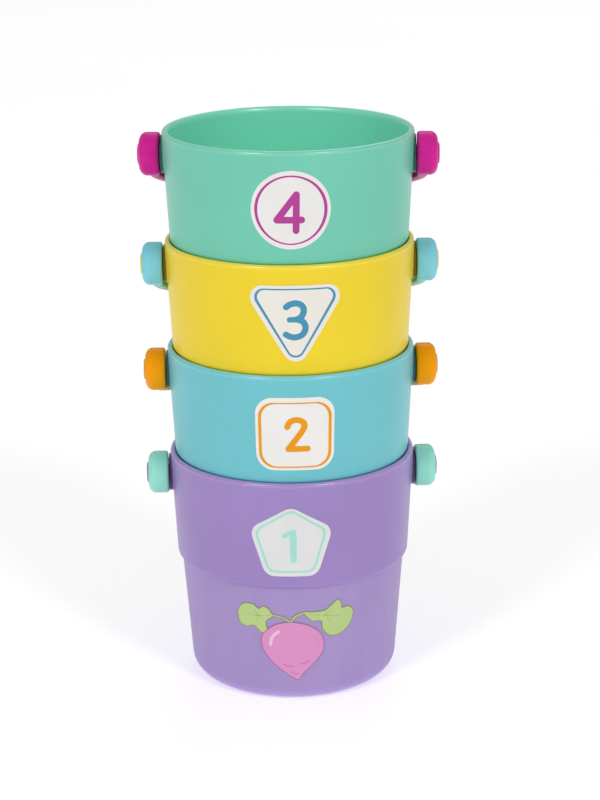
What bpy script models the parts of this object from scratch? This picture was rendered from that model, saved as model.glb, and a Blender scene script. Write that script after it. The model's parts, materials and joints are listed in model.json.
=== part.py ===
"""Stacking cup tower: four equal pails, each standing in the rim of the one below.

Every pail has a wide upper band, a narrower lower section that drops into the pail
below, a bail handle that hangs behind it on two pivots, a number label on the band and
a picture label on the lower section. Z is up, the labels face -Y and the handles hang
towards +Y. The origin is the middle of the bottom pail's flat underside.
"""

import math

import bpy
from mathutils import Matrix, Vector

MM = 0.001

# Pail, heights from its own underside
RIM_RADIUS = 50.0 * MM
CUP_HEIGHT = 96.4 * MM
LIP_RADIUS = 1.33 * MM
BAND_BOTTOM_RADIUS = 47.84 * MM
BAND_BOTTOM_HEIGHT = 53.8 * MM
SHOULDER_RADIUS = 2.5 * MM
LOWER_TOP_RADIUS = 46.03 * MM
LOWER_TOP_HEIGHT = 51.4 * MM
BASE_RADIUS = 42.68 * MM
BASE_FILLET = 7.16 * MM
WALL = 2.4 * MM
FLOOR = 2.4 * MM

# Tower
CUPS = 4
PITCH = 44.0 * MM
TURNS = (math.radians(3.0), math.radians(2.0), math.radians(1.4), math.radians(-2.0))

# Pivot, distances outwards from the pail's axis
PIVOT_BELOW_RIM = 10.4 * MM
BOSS_RADIUS = 7.6 * MM
BOSS_START = 47.8 * MM
BOSS_END = 50.6 * MM
POST_RADIUS = 3.0 * MM
POST_END = 57.9 * MM
POST_BORE_RADIUS = 1.8 * MM
POST_BORE_START = 53.0 * MM
CAP_STEM_RADIUS = 1.5 * MM
CAP_STEM_START = 53.3 * MM
CAP_HEAD_RADIUS = 4.2 * MM
CAP_HEAD_START = 58.2 * MM
CAP_END = 60.3 * MM

# Handle
EYE_RADIUS = 8.65 * MM
EYE_START = 50.9 * MM
EYE_END = 59.4 * MM
EYE_BORE_RADIUS = 3.3 * MM
EYE_COUNTERBORE_RADIUS = 4.5 * MM
EYE_COUNTERBORE_START = 57.9 * MM
HOOP_HALF_SPAN = 51.75 * MM
HOOP_REACH = 58.2 * MM
HOOP_THICKNESS = 4.0 * MM
HOOP_CHAMFER = 1.2 * MM
HOOP_ROOT_HALF_WIDTH = 8.4 * MM
HOOP_HALF_WIDTH = 5.5 * MM
HOOP_TAPER_END = math.radians(32.0)
HANGS = (math.radians(23.0), math.radians(24.0), math.radians(27.0), math.radians(25.0))

# Labels
LABEL_GAP = 0.3 * MM
LABEL_THICKNESS = 0.3 * MM
NUMBER_TURNS = (math.radians(-3.4), 0.0, math.radians(1.3), math.radians(3.2))
NUMBER_BELOW_RIM = (24.8 * MM, 23.6 * MM, 23.0 * MM, 22.6 * MM)
PICTURE_TURNS = (math.radians(-4.8), 0.0, 0.0, 0.0)
PICTURE_CROWN_HEIGHT = 36.2 * MM

# Facets
CUP_SEGMENTS = 32
PIVOT_SEGMENTS = 16
HOOP_STEPS = 22
PLANT_POINTS = 32
LABEL_STATIONS = 14

CUP_NAMES = ("cup_1", "cup_2", "cup_3", "cup_4")
CUP_COLOURS = (
    (0.342, 0.229, 0.539),
    (0.147, 0.558, 0.604),
    (0.839, 0.651, 0.027),
    (0.165, 0.604, 0.451),
)
HANDLE_COLOURS = (
    (0.223, 0.638, 0.514),
    (0.807, 0.296, 0.003),
    (0.171, 0.515, 0.610),
    (0.624, 0.025, 0.287),
)
CAP_COLOURS = (CUP_COLOURS[0], HANDLE_COLOURS[1], CUP_COLOURS[2], HANDLE_COLOURS[3])
LABEL_COLOUR = (0.815, 0.807, 0.791)
PICTURE_COLOURS = (
    (0.730, 0.266, 0.515),
    (0.800, 0.330, 0.070),
    (0.290, 0.170, 0.480),
    (0.560, 0.060, 0.200),
)


def clear_scene():
    for thing in list(bpy.data.objects):
        bpy.data.objects.remove(thing, do_unlink=True)


def plastic(name, colour, roughness):
    material = bpy.data.materials.new(name)
    material.use_nodes = True
    shader = material.node_tree.nodes["Principled BSDF"]
    shader.inputs["Base Color"].default_value = (*colour, 1.0)
    shader.inputs["Roughness"].default_value = roughness
    material.diffuse_color = (*colour, 1.0)
    return material


def mesh_object(name, points, faces, material=None, smooth=True):
    mesh = bpy.data.meshes.new(name)
    mesh.from_pydata(points, [], faces)
    mesh.validate()
    mesh.polygons.foreach_set("use_smooth", [smooth] * len(mesh.polygons))
    if material is not None:
        mesh.materials.append(material)
    mesh.update()
    made = bpy.data.objects.new(name, mesh)
    bpy.context.scene.collection.objects.link(made)
    return made


def hide(helper):
    helper.hide_render = True
    helper.display_type = "WIRE"


def combine(target, helper, operation):
    step = target.modifiers.new(operation.lower() + "_" + helper.name, "BOOLEAN")
    step.operation = operation
    step.solver = "EXACT"
    step.object = helper
    hide(helper)


def arc(centre_r, centre_z, radius, start, end, steps):
    """Points (r, z) round a circle, from one angle to the other, in degrees."""
    found = []
    for i in range(steps + 1):
        angle = math.radians(start + (end - start) * i / steps)
        r = centre_r + radius * math.cos(angle)
        z = centre_z + radius * math.sin(angle)
        found.append((r, z))
    return found


def revolved(profile, segments):
    """A closed surface from points (r, z) that start and end on the Z axis."""
    rings = profile[1:-1]
    points = [(0.0, 0.0, profile[0][1])]
    for r, z in rings:
        for j in range(segments):
            angle = 2 * math.pi * j / segments
            points.append((r * math.cos(angle), r * math.sin(angle), z))
    points.append((0.0, 0.0, profile[-1][1]))
    last = len(points) - 1
    faces = []
    for j in range(segments):
        k = (j + 1) % segments
        faces.append((0, 1 + k, 1 + j))
        for i in range(len(rings) - 1):
            low = 1 + i * segments
            high = low + segments
            faces.append((low + j, low + k, high + k, high + j))
        top = 1 + (len(rings) - 1) * segments
        faces.append((top + j, top + k, last))
    return points, faces


def outwards(points, side):
    """Turns points made along Z so that they run along +X or -X."""
    turn = Matrix.Rotation(side * math.pi / 2, 4, "Y")
    return [tuple(turn @ Vector(point)) for point in points]


def cup_profile():
    lip_r = RIM_RADIUS - LIP_RADIUS
    lip_z = CUP_HEIGHT - LIP_RADIUS
    found = [(0.0, 0.0)]
    found += arc(BASE_RADIUS - BASE_FILLET, BASE_FILLET, BASE_FILLET, -90, 0, 5)
    shoulder_r = BAND_BOTTOM_RADIUS - SHOULDER_RADIUS
    shoulder = arc(shoulder_r, BAND_BOTTOM_HEIGHT, SHOULDER_RADIUS, -74, 0, 4)
    found.append((LOWER_TOP_RADIUS, shoulder[0][1]))
    found += shoulder[1:]
    found += arc(lip_r, lip_z, LIP_RADIUS, 0, 180, 6)
    found.append((shoulder_r, BAND_BOTTOM_HEIGHT + 0.2 * MM))
    found.append((LOWER_TOP_RADIUS - WALL, BAND_BOTTOM_HEIGHT - 0.8 * MM))
    inner = BASE_FILLET - WALL
    found += arc(BASE_RADIUS - BASE_FILLET, BASE_FILLET, inner, 0, -90, 3)
    found.append((0.0, FLOOR))
    return found


def wall_radius(height):
    """Radius of the pail's outside at a height above its underside."""
    if height > BAND_BOTTOM_HEIGHT:
        low_r = BAND_BOTTOM_RADIUS
        low_z = BAND_BOTTOM_HEIGHT
        high_r = RIM_RADIUS
        high_z = CUP_HEIGHT - LIP_RADIUS
    else:
        low_r = BASE_RADIUS
        low_z = BASE_FILLET
        high_r = LOWER_TOP_RADIUS
        high_z = LOWER_TOP_HEIGHT
    share = (height - low_z) / (high_z - low_z)
    return low_r + (high_r - low_r) * share


def make_shell(name, placing, material):
    points, faces = revolved(cup_profile(), CUP_SEGMENTS)
    shell = mesh_object(name + "_shell", points, faces, material)
    shell.matrix_world = placing
    post_profile = [
        (0.0, BOSS_START),
        (BOSS_RADIUS, BOSS_START),
        (BOSS_RADIUS, BOSS_END),
        (POST_RADIUS, BOSS_END),
        (POST_RADIUS, POST_END),
        (POST_BORE_RADIUS, POST_END),
        (POST_BORE_RADIUS, POST_BORE_START),
        (0.0, POST_BORE_START),
    ]
    points, faces = revolved(post_profile, PIVOT_SEGMENTS)
    pivot = Matrix.Translation((0, 0, CUP_HEIGHT - PIVOT_BELOW_RIM))
    for word, side in (("left", -1), ("right", 1)):
        post = mesh_object(name + "_post_" + word, outwards(points, side), faces, material)
        post.matrix_world = placing @ pivot
        combine(shell, post, "UNION")
    return shell


def hoop_section(half_width):
    """Corners (outwards, across) of the handle's band."""
    c = HOOP_CHAMFER
    w = half_width
    t = HOOP_THICKNESS
    return [
        (0.0, c - w),
        (0.0, w - c),
        (c, w),
        (t - c, w),
        (t, w - c),
        (t, c - w),
        (t - c, -w),
        (c, -w),
    ]


def hoop_mesh():
    """The band from one eye to the other, its own plane level, reaching to +Y."""
    points = []
    count = 8
    for i in range(HOOP_STEPS + 1):
        angle = math.pi * i / HOOP_STEPS
        near = min(angle, math.pi - angle)
        share = min(1.0, near / HOOP_TAPER_END)
        share = share * share * (3 - 2 * share)
        width = HOOP_ROOT_HALF_WIDTH + (HOOP_HALF_WIDTH - HOOP_ROOT_HALF_WIDTH) * share
        nx = math.cos(angle) / HOOP_HALF_SPAN
        ny = math.sin(angle) / HOOP_REACH
        size = math.hypot(nx, ny)
        for out, across in hoop_section(width):
            x = HOOP_HALF_SPAN * math.cos(angle) + out * nx / size
            y = HOOP_REACH * math.sin(angle) + out * ny / size
            points.append((x, y, across))
    faces = [tuple(range(count)), tuple(reversed(range(len(points) - count, len(points))))]
    for i in range(HOOP_STEPS):
        for j in range(count):
            k = (j + 1) % count
            low = i * count
            high = low + count
            faces.append((low + k, low + j, high + j, high + k))
    return points, faces


def make_handle(name, placing, hang_angle, material):
    points, faces = hoop_mesh()
    pivot = Matrix.Translation((0, 0, CUP_HEIGHT - PIVOT_BELOW_RIM))
    hang = pivot @ Matrix.Rotation(-hang_angle, 4, "X")
    handle = mesh_object(name + "_handle", points, faces, material)
    handle.matrix_world = placing @ hang
    eye_profile = [(0.0, EYE_START), (EYE_RADIUS - 0.9 * MM, EYE_START)]
    eye_profile += [(EYE_RADIUS, EYE_START + 0.9 * MM)]
    eye_profile += arc(EYE_RADIUS - 3.2 * MM, EYE_END - 3.2 * MM, 3.2 * MM, 0, 75, 4)
    eye_profile += [(EYE_COUNTERBORE_RADIUS, EYE_END), (0.0, EYE_END)]
    bore_profile = [
        (0.0, EYE_START - 2 * MM),
        (EYE_BORE_RADIUS, EYE_START - 2 * MM),
        (EYE_BORE_RADIUS, EYE_COUNTERBORE_START),
        (EYE_COUNTERBORE_RADIUS, EYE_COUNTERBORE_START),
        (EYE_COUNTERBORE_RADIUS, EYE_END + 2 * MM),
        (0.0, EYE_END + 2 * MM),
    ]
    for word, side in (("left", -1), ("right", 1)):
        points, faces = revolved(eye_profile, PIVOT_SEGMENTS + 4)
        eye = mesh_object(name + "_eye_" + word, outwards(points, side), faces, material)
        eye.matrix_world = placing @ hang
        combine(handle, eye, "UNION")
    for word, side in (("left", -1), ("right", 1)):
        points, faces = revolved(bore_profile, PIVOT_SEGMENTS)
        bore = mesh_object(name + "_bore_" + word, outwards(points, side), faces, material)
        bore.matrix_world = placing @ hang
        combine(handle, bore, "DIFFERENCE")
    return handle


def make_caps(name, placing, material):
    profile = [
        (0.0, CAP_STEM_START),
        (CAP_STEM_RADIUS, CAP_STEM_START),
        (CAP_STEM_RADIUS, CAP_HEAD_START),
        (CAP_HEAD_RADIUS, CAP_HEAD_START),
        (CAP_HEAD_RADIUS, CAP_END - 0.8 * MM),
        (CAP_HEAD_RADIUS - 0.5 * MM, CAP_END - 0.2 * MM),
        (CAP_HEAD_RADIUS - 1.4 * MM, CAP_END),
        (0.0, CAP_END),
    ]
    points, faces = revolved(profile, PIVOT_SEGMENTS)
    pivot = Matrix.Translation((0, 0, CUP_HEIGHT - PIVOT_BELOW_RIM))
    for word, side in (("left", -1), ("right", 1)):
        cap = mesh_object(name + "_pivot_cap_" + word, outwards(points, side), faces, material)
        cap.matrix_world = placing @ pivot


def rounded(corners, steps):
    """An outline from corners (u, v, radius), counter-clockwise, each turned by an arc."""
    found = []
    count = len(corners)
    for i in range(count):
        before = corners[i - 1]
        here = corners[i]
        after = corners[(i + 1) % count]
        into = math.atan2(here[1] - before[1], here[0] - before[0])
        away = math.atan2(after[1] - here[1], after[0] - here[0])
        turn = (away - into) % (2 * math.pi)
        reach = here[2] * math.tan(turn / 2)
        start_u = here[0] - reach * math.cos(into)
        start_v = here[1] - reach * math.sin(into)
        centre_u = start_u - here[2] * math.sin(into)
        centre_v = start_v + here[2] * math.cos(into)
        for j in range(steps + 1):
            angle = into - math.pi / 2 + turn * j / steps
            u = centre_u + here[2] * math.cos(angle)
            v = centre_v + here[2] * math.sin(angle)
            found.append((u, v))
    return found


def disc_outline():
    return [
        (15.4 * MM * math.cos(2 * math.pi * i / 28), 15.3 * MM * math.sin(2 * math.pi * i / 28))
        for i in range(28)
    ]


def triangle_outline():
    corners = ((-21.3, 15.3, 5.1), (0.0, -20.1, 5.1), (21.3, 15.3, 5.1))
    return rounded([(u * MM, v * MM, r * MM) for u, v, r in corners], 6)


def square_outline():
    corners = ((15.6, 15.1, 7.2), (-15.6, 15.1, 7.2), (-15.6, -15.1, 7.2), (15.6, -15.1, 7.2))
    return rounded([(u * MM, v * MM, r * MM) for u, v, r in corners], 5)


def pentagon_outline():
    corners = []
    for i in range(5):
        angle = math.radians(90 + 72 * i)
        corners.append((17.5 * MM * math.cos(angle), 16.8 * MM * math.sin(angle) - 0.95 * MM, 5.2 * MM))
    return rounded(corners, 4)


def ellipse(u, v, half_width, half_height):
    """An outline in millimetres, about a point beside or above the plant's crown."""
    found = []
    for i in range(PLANT_POINTS):
        angle = 2 * math.pi * i / PLANT_POINTS
        across = u + half_width * math.cos(angle)
        up = v + half_height * math.sin(angle)
        found.append((across * MM, up * MM))
    return found


def radish_outlines():
    root = [ellipse(1.2, -11.5, 12.8, 11.7), ellipse(3.0, -21.0, 2.6, 3.2)]
    stems = [ellipse(-6.0, 1.4, 6.5, 1.2), ellipse(8.0, 1.8, 7.0, 1.4)]
    leaves = [ellipse(-15.9, 1.3, 6.4, 6.1), ellipse(19.2, -0.3, 7.3, 6.5), ellipse(19.4, 4.4, 3.4, 3.8)]
    return root + stems + leaves


def carrot_outlines():
    root = [ellipse(0.0, -9.0, 7.4, 9.0), ellipse(0.0, -15.0, 4.8, 10.6)]
    leaves = [ellipse(-5.6, 3.6, 4.6, 4.0), ellipse(5.6, 3.6, 4.6, 4.0), ellipse(0.0, 4.6, 3.2, 5.0)]
    return root + leaves


def plum_outlines():
    return [ellipse(0.0, -12.0, 12.4, 12.0), ellipse(0.0, 1.6, 1.4, 3.4), ellipse(6.4, 2.8, 6.0, 3.0)]


def beet_outlines():
    root = [ellipse(0.0, -11.0, 12.8, 11.0), ellipse(0.0, -21.0, 2.2, 4.4)]
    leaves = [ellipse(-7.6, 3.4, 4.0, 5.4), ellipse(7.6, 3.4, 4.0, 5.4), ellipse(0.0, 4.4, 3.4, 5.0)]
    return root + leaves


def spans(outlines):
    """(across, lowest, highest) at stations from the outlines' left end to their right end."""
    left = min(u for outline in outlines for u, v in outline)
    right = max(u for outline in outlines for u, v in outline)
    found = []
    for i in range(LABEL_STATIONS + 1):
        u = left + (right - left) * (0.5 - 0.497 * math.cos(math.pi * i / LABEL_STATIONS))
        crossings = []
        for outline in outlines:
            for j, (u1, v1) in enumerate(outline):
                u0, v0 = outline[j - 1]
                if (u0 - u) * (u1 - u) <= 0 and u0 != u1:
                    crossings.append(v0 + (v1 - v0) * (u - u0) / (u1 - u0))
        found.append((u, min(crossings), max(crossings)))
    return found


def make_label(name, outlines, height, turn, placing, material):
    """A thin sheet bent round the pail, from outlines (across, up) about a point on it."""
    stations = spans(outlines)
    points = []
    for offset in (LABEL_GAP, LABEL_GAP + LABEL_THICKNESS):
        for u, low, high in stations:
            angle = u / wall_radius(height) + turn
            for z in (height + low, height + high):
                r = wall_radius(z) + offset
                points.append((r * math.sin(angle), -r * math.cos(angle), z))
    outer = 2 * len(stations)
    faces = [(0, outer, outer + 1, 1), (outer - 2, outer - 1, 2 * outer - 1, 2 * outer - 2)]
    for i in range(len(stations) - 1):
        a = 2 * i
        faces.append((a, a + 1, a + 3, a + 2))
        faces.append((outer + a, outer + a + 2, outer + a + 3, outer + a + 1))
        faces.append((a, a + 2, outer + a + 2, outer + a))
        faces.append((a + 1, outer + a + 1, outer + a + 3, a + 3))
    label = mesh_object(name, points, faces, material, smooth=False)
    label.matrix_world = placing


def main():
    clear_scene()
    numbers = (pentagon_outline(), square_outline(), triangle_outline(), disc_outline())
    plants = (radish_outlines(), carrot_outlines(), plum_outlines(), beet_outlines())
    for i in range(CUPS):
        name = CUP_NAMES[i]
        placing = Matrix.Translation((0, 0, PITCH * i)) @ Matrix.Rotation(TURNS[i], 4, "Z")
        cup_plastic = plastic(name + "_plastic", CUP_COLOURS[i], 0.32)
        cap_plastic = plastic(name + "_cap_plastic", CAP_COLOURS[i], 0.32)
        handle_plastic = plastic(name + "_handle_plastic", HANDLE_COLOURS[i], 0.32)
        number_film = plastic(name + "_number_film", LABEL_COLOUR, 0.45)
        picture_film = plastic(name + "_picture_film", PICTURE_COLOURS[i], 0.45)
        make_shell(name, placing, cup_plastic)
        make_handle(name, placing, HANGS[i], handle_plastic)
        make_caps(name, placing, cap_plastic)
        number_height = CUP_HEIGHT - NUMBER_BELOW_RIM[i]
        label = name + "_number_label"
        turn = NUMBER_TURNS[i]
        make_label(label, [numbers[i]], number_height, turn, placing, number_film)
        label = name + "_picture_label"
        turn = PICTURE_TURNS[i]
        make_label(label, plants[i], PICTURE_CROWN_HEIGHT, turn, placing, picture_film)


main()
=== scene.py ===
"""Looks of the stacking cup tower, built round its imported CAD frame.

Every pail, handle, cap and label gets a finer piece that stands for its CAD node. A piece
is modelled in millimetres in its own frame: a pail, its caps and its labels about the
middle of the pail's underside, with the labels on the -Y side, and a handle about the
middle of its swing axis, with its hoop level and reaching to +Y. mesh_object() turns them
into metres and settle() puts them where the frame's nodes and hinges are.
"""

import json
import math

import bpy
import numpy as np
from mathutils import Matrix, Vector


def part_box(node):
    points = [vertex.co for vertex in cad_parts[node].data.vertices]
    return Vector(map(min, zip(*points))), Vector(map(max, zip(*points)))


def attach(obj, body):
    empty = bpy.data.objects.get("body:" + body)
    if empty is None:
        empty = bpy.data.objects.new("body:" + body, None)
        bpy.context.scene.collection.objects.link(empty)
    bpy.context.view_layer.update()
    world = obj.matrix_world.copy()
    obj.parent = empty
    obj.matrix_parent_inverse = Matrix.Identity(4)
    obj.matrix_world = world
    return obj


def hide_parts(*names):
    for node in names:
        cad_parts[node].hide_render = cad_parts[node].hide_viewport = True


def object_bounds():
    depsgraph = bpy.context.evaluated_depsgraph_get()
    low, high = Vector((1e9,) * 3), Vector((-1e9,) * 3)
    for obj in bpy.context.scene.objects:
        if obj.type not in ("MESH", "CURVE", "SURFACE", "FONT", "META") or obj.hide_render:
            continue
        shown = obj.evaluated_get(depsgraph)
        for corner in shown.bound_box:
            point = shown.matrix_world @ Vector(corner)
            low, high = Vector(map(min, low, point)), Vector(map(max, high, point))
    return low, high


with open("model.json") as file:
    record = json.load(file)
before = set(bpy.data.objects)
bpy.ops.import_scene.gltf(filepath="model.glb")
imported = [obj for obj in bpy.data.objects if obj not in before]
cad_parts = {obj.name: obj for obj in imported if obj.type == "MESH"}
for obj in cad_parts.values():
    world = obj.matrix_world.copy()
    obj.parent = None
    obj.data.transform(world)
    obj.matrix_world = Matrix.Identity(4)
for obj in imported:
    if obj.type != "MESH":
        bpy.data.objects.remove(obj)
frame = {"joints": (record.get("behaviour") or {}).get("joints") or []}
cad_low, cad_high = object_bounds()

MM = 0.001

# Pail, heights from its own underside
CUP_HEIGHT = 96.4
RIM_RADIUS = 50.0
LIP_RADIUS = 1.4
LIP_INNER_FALL = 2.6
LIP_EDGE = 0.4
LIP_EDGE_LEAN = 0.02
BAND_BOTTOM_RADIUS = 47.84
BAND_BOTTOM_HEIGHT = 53.45
SHOULDER_RADIUS = 2.5
SHOULDER_START = -74
LOWER_TOP_RADIUS = 46.03
LOWER_TOP_HEIGHT = 51.4
BASE_RADIUS = 42.68
BASE_FILLET = 7.16
WALL = 2.4
FLOOR = 2.4
FOOT_RADIUS = 33.5
FOOT_DEPTH = 0.8
GATE_RADIUS = 2.6
GATE_DEPTH = 0.35
RING_SPACING = 6.0
LIP_SLACK = 0.01

# Pivot, distances outwards from the pail's axis
PIVOT_HEIGHT = 86.0
BOSS_RADIUS = 7.6
BOSS_START = 47.8
BOSS_END = 50.6
BOSS_EDGE_RADIUS = 0.3
POST_RADIUS = 3.0
POST_END = 57.9
POST_EDGE_RADIUS = 0.25
POST_BORE_RADIUS = 1.8
POST_BORE_START = 53.0
CAP_STEM_RADIUS = 1.5
CAP_STEM_START = 53.3
CAP_STEM_CHAMFER = 0.3
CAP_HEAD_RADIUS = 4.2
CAP_HEAD_START = 58.2
CAP_HEAD_CHAMFER = 0.2
CAP_EDGE_RADIUS = 0.5
CAP_EDGE_END = 59.75
CAP_DOME = 0.2
CAP_DIMPLE_RADIUS = 0.8
CAP_DIMPLE_DEPTH = 0.15

# Handle
HANGS = [math.radians(angle) for angle in (23.0, 24.0, 27.0, 25.0)]
EYE_RADIUS = 8.65
EYE_START = 50.9
EYE_INNER_ROUND = 1.1
EYE_CORNER_RADIUS = 3.7
EYE_CORNER_DEPTH = 3.1
EYE_FACE = 59.2
EYE_FACE_DOME = 0.15
EYE_BORE_RADIUS = 3.3
EYE_COUNTERBORE_RADIUS = 4.5
EYE_COUNTERBORE_START = 57.9
EYE_COUNTERBORE_END = 59.2
EYE_RING_SPACING = 2.0
HOOP_HALF_SPAN = 51.75
HOOP_REACH = 58.05
HOOP_THICKNESS = 4.0
HOOP_ROUND = 1.6
HOOP_ROOT_HALF_WIDTH = 8.4
HOOP_HALF_WIDTH = 5.5
HOOP_TAPER_END = math.radians(32.0)
PARTING_HEIGHT = 0.07
PARTING_HALF_WIDTH = 0.3

# Labels: inner and outer distance of the film and the prints from the wall, the steps of
# the grids that they are cut on, and their places
FILM = (0.02, 0.16)
PRINT = (0.13, 0.20)
SECOND_PRINT = (0.18, 0.24)
THIRD_PRINT = (0.22, 0.28)
FOURTH_PRINT = (0.26, 0.32)
FILM_STEP = 0.6
PRINT_STEP = 0.3
PICTURE_STEP = 0.4
NUMBER_TURNS = [math.radians(angle) for angle in (-3.4, 0.0, 1.3, 3.2)]
NUMBER_HEIGHTS = [CUP_HEIGHT - below for below in (24.8, 23.6, 23.0, 22.6)]
PICTURE_TURNS = [math.radians(angle) for angle in (-4.8, 0.0, 0.0, 0.0)]
PICTURE_CROWN_HEIGHT = 36.2
LINE_INSET = 0.32
# Least distance from an outline to a point of its grid, as a share of the grid's step
EDGE_MARGIN = 0.03

# Facets
PAIL_SEGMENTS = 192
PIVOT_SEGMENTS = 64
EYE_SEGMENTS = 96
HOOP_STEPS = 120
CREASE_ANGLE = math.radians(38)

CUP_NAMES = ("cup_1", "cup_2", "cup_3", "cup_4")
CUP_SLOTS = ("purple_plastic", "blue_plastic", "yellow_plastic", "teal_plastic")
CAP_SLOTS = ("purple_plastic", "orange_plastic", "yellow_plastic", "magenta_plastic")

# Colours, sRGB from 0 to 255
CUP_COLOURS = ((159, 134, 196), (112, 197, 206), (241, 212, 37), (115, 203, 178))
HANDLE_COLOURS = ((156, 231, 213), (248, 160, 0), (131, 209, 226), (212, 34, 148))
PAPER_COLOURS = ((226, 225, 226), (237, 236, 233), (236, 231, 222), (233, 232, 230))
NUMBER_COLOURS = ((164, 224, 210), (236, 154, 0), (68, 147, 178), (180, 62, 150))
WHITE = (1, 1, 1, 1)

# Moulded plastic: factors on its colour, for painted light on the lip and the inside and
# painted shade on a boss, then shares and values for its shader
INSIDE_PAINTED_LIGHT = 1.38
LIP_PAINTED_LIGHT = 1.07
PAINTED_SHADE_TONE = 0.15
MATTE_HAZE = (0.055, 0.078)
MATTE_ROUGHNESS = 0.14
LIP_POLISH = 0.04
LIP_SHEEN = 1.0
LIP_COAT = 0.35
LIP_COAT_ROUGHNESS = 0.24
PLASTIC_IOR = 1.46
SUBSURFACE_SHARE = 0.12
SUBSURFACE_SPREAD = (1.0, 0.8, 0.7)
SUBSURFACE_SCALE = 0.0025

# Printed film: its sheen, and factors on the colour of a plant's leaves or root
FILM_SHEEN = 0.25
LEAF_EDGE_TONE = 0.72
VEIN_TONE = 0.84
ROOT_EDGE_TONE = 0.76
RING_TONE = 0.82
SHINE_TONE = 1.45


def linear(colour):
    """Blender's linear red, green, blue and alpha of an sRGB colour."""
    found = []
    for part in colour:
        share = part / 255
        found.append(share / 12.92 if share <= 0.04045 else ((share + 0.055) / 1.055) ** 2.4)
    return (*found, 1.0)


# ---------------------------------------------------------------- materials


class Nodes:
    """A material's nodes, wired by short calls."""

    def __init__(self, name):
        self.material = bpy.data.materials.new(name)
        self.material.use_nodes = True
        self.tree = self.material.node_tree
        self.shader = self.tree.nodes["Principled BSDF"]

    def add(self, kind, **settings):
        """A new shader node with its settings."""
        node = self.tree.nodes.new("ShaderNode" + kind)
        for key, value in settings.items():
            setattr(node, key, value)
        return node

    def wire(self, source, target):
        """Leads an output socket into an input socket."""
        self.tree.links.new(source, target)

    def place(self, scale):
        """The piece's own coordinates, in metres, stretched by scale."""
        here = self.add("TexCoord")
        stretch = self.add("Mapping")
        stretch.inputs["Scale"].default_value = scale
        self.wire(here.outputs["Object"], stretch.inputs["Vector"])
        return stretch.outputs["Vector"]

    def noise(self, vector, scale, detail=2.0, roughness=0.5):
        """Cloudy values about 0.5; a larger scale gives finer clouds."""
        cloud = self.add("TexNoise")
        cloud.inputs["Scale"].default_value = scale
        cloud.inputs["Detail"].default_value = detail
        cloud.inputs["Roughness"].default_value = roughness
        self.wire(vector, cloud.inputs["Vector"])
        return cloud.outputs["Fac"]

    def spread(self, value, low, high, start=0.3, end=0.7):
        """value from start to end, turned into low to high."""
        band = self.add("MapRange")
        band.inputs["From Min"].default_value = start
        band.inputs["From Max"].default_value = end
        band.inputs["To Min"].default_value = low
        band.inputs["To Max"].default_value = high
        self.wire(value, band.inputs["Value"])
        return band.outputs["Result"]

    def blend(self, share, first, second):
        """A colour from first to second; each is a socket or a colour."""
        mixer = self.add("Mix", data_type="RGBA")
        self.wire(share, mixer.inputs["Factor"])
        for value, socket in ((first, mixer.inputs[6]), (second, mixer.inputs[7])):
            if isinstance(value, tuple):
                socket.default_value = value
            else:
                self.wire(value, socket)
        return mixer.outputs[2]

    def product(self, first, second):
        times = self.add("Math", operation="MULTIPLY")
        self.wire(first, times.inputs[0])
        self.wire(second, times.inputs[1])
        return times.outputs["Value"]

    def shifted(self, value, share, amount):
        """value plus a fixed amount times share."""
        total = self.add("Math", operation="MULTIPLY_ADD")
        total.inputs[1].default_value = amount
        self.wire(share, total.inputs[0])
        self.wire(value, total.inputs[2])
        return total.outputs["Value"]

    def marked(self, zone):
        """How far a point is in a zone that the mesh marks."""
        return self.add("Attribute", attribute_name=zone).outputs["Fac"]

    def bump(self, height, distance, strength, under=None):
        """Normals for a surface raised by up to distance, in metres, on top of under."""
        dent = self.add("Bump")
        dent.inputs["Strength"].default_value = strength
        dent.inputs["Distance"].default_value = distance
        self.wire(height, dent.inputs["Height"])
        if under is not None:
            self.wire(under, dent.inputs["Normal"])
        return dent.outputs["Normal"]


def shaded(colour, factor):
    """A linear colour made lighter or darker."""
    return (*(min(1.0, part * factor) for part in colour[:3]), 1.0)


def towards_white(colour, share):
    """A linear colour with a share of white mixed in."""
    return (*(part + (1 - part) * share for part in colour[:3]), 1.0)


def pigment(nodes, base, even, drawn):
    """Cloudy pigment, draw marks up the wall, dark specks and light scuffs."""
    cloud = nodes.spread(nodes.noise(even, 22, 3), 0, 1)
    tone = nodes.blend(cloud, shaded(base, 0.965), shaded(base, 1.03))
    draw = nodes.spread(nodes.noise(drawn, 260, 3), 0, 0.12, 0.45, 0.8)
    tone = nodes.blend(draw, tone, towards_white(base, 0.08))
    speck = nodes.spread(nodes.noise(even, 1500, 1), 0, 0.35, 0.66, 0.8)
    tone = nodes.blend(speck, tone, shaded(base, 0.86))
    rubbed = nodes.place((0.25, 0.25, 1))
    scuff = nodes.spread(nodes.noise(rubbed, 420, 6, 0.7), 0, 0.04, 0.62, 0.8)
    return nodes.blend(scuff, tone, towards_white(base, 0.5))


def painted_light_and_shade(nodes, base, tone):
    """tone with painted light, lighter on the lip and lighter still on the inside, and
    painted shade, dark on a boss's outer part behind an eye."""
    # painted light: the lip made lighter than the wall
    lip = nodes.spread(nodes.marked("lip"), 0, 1, 0, 1)
    tone = nodes.blend(lip, tone, shaded(base, LIP_PAINTED_LIGHT))
    # painted light: the inside made lighter than the outside of the same plastic
    inside = nodes.spread(nodes.marked("inside"), 0, 1, 0, 1)
    tone = nodes.blend(inside, tone, shaded(base, INSIDE_PAINTED_LIGHT))
    # painted shade: a boss's outer part darkened where it sits in the gap behind the eye
    painted_shade = nodes.spread(nodes.marked("painted_shade"), 0, 1, 0.05, 0.4)
    return nodes.blend(painted_shade, tone, shaded(base, PAINTED_SHADE_TONE))


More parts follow.
